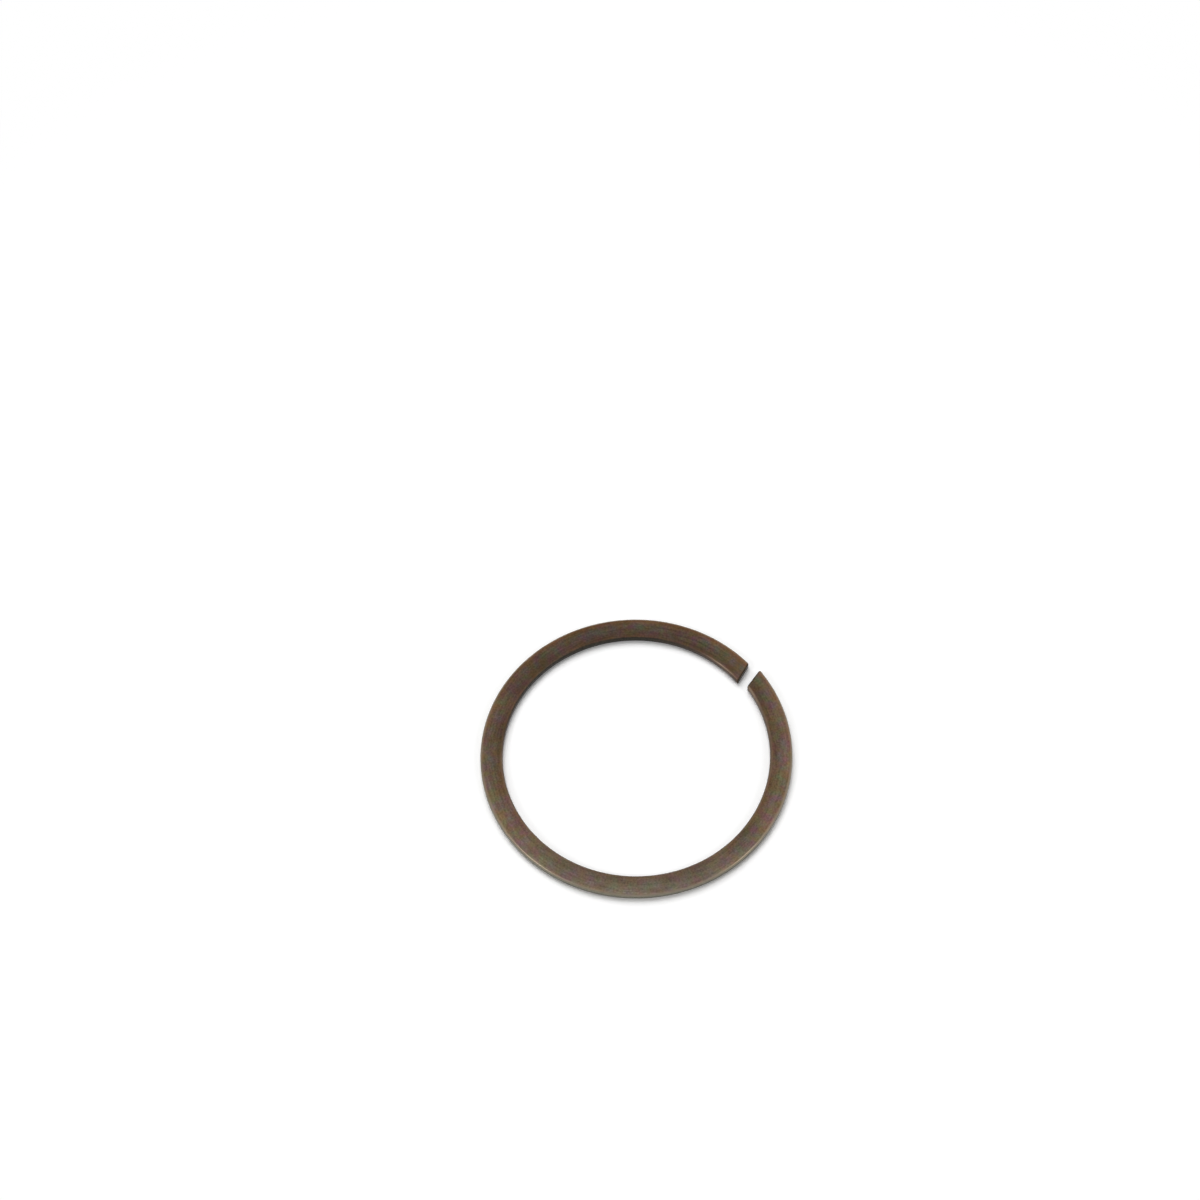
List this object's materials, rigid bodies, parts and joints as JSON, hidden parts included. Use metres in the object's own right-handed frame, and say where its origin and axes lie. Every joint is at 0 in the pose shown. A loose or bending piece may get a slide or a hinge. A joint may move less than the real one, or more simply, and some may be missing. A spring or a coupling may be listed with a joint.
{
  "type": "snap ring",
  "caption": "Flat split spring ring of rolled wire that snaps into a groove and holds a bearing or sleeve in place along its axis.",
  "frame": {"origin": "centre of the coil, on the flat face that the ring rests on", "axes": "+Z along the ring's axis, away from the resting face; +Y through the gap between the ends"},
  "size_m": [0.0442, 0.0447, 0.0011],
  "materials": {
    "spring_steel": "dark brown oxide, lightly oiled, satin"
  },
  "bodies": {
    "root": {"snap_ring": "spring_steel"}
  },
  "joints": []
}
